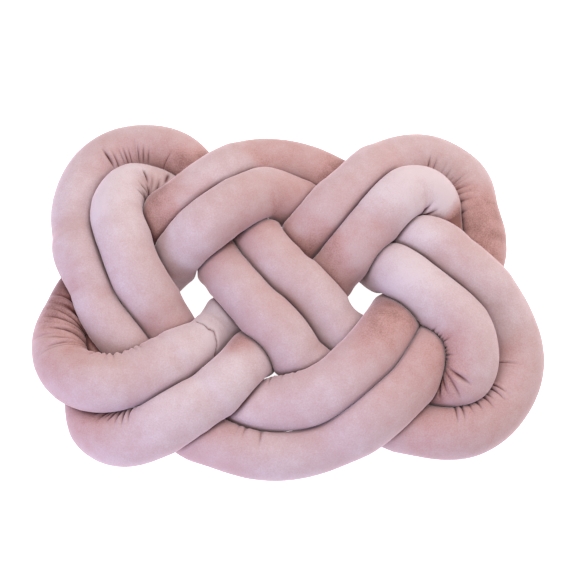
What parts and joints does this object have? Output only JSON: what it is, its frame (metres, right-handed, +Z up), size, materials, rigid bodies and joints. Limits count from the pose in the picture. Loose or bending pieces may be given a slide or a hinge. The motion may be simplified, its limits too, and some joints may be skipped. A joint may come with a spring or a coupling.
{
  "type": "knot cushion",
  "caption": "Soft velvet floor or sofa cushion made from a long stuffed tube woven into a flat oblong knot, its ends sewn together.",
  "frame": {"origin": "centre of the bounding box in plan, on the surface the cushion lies on", "axes": "+X along the cushion's longer side, +Y towards its back edge, where the two high loops are, +Z up out of its face"},
  "size_m": [0.5984, 0.4526, 0.1186],
  "materials": {
    "velvet": "soft short-pile velvet, dusty pink"
  },
  "bodies": {
    "root": {"stuffed_tube": "velvet"}
  },
  "joints": []
}
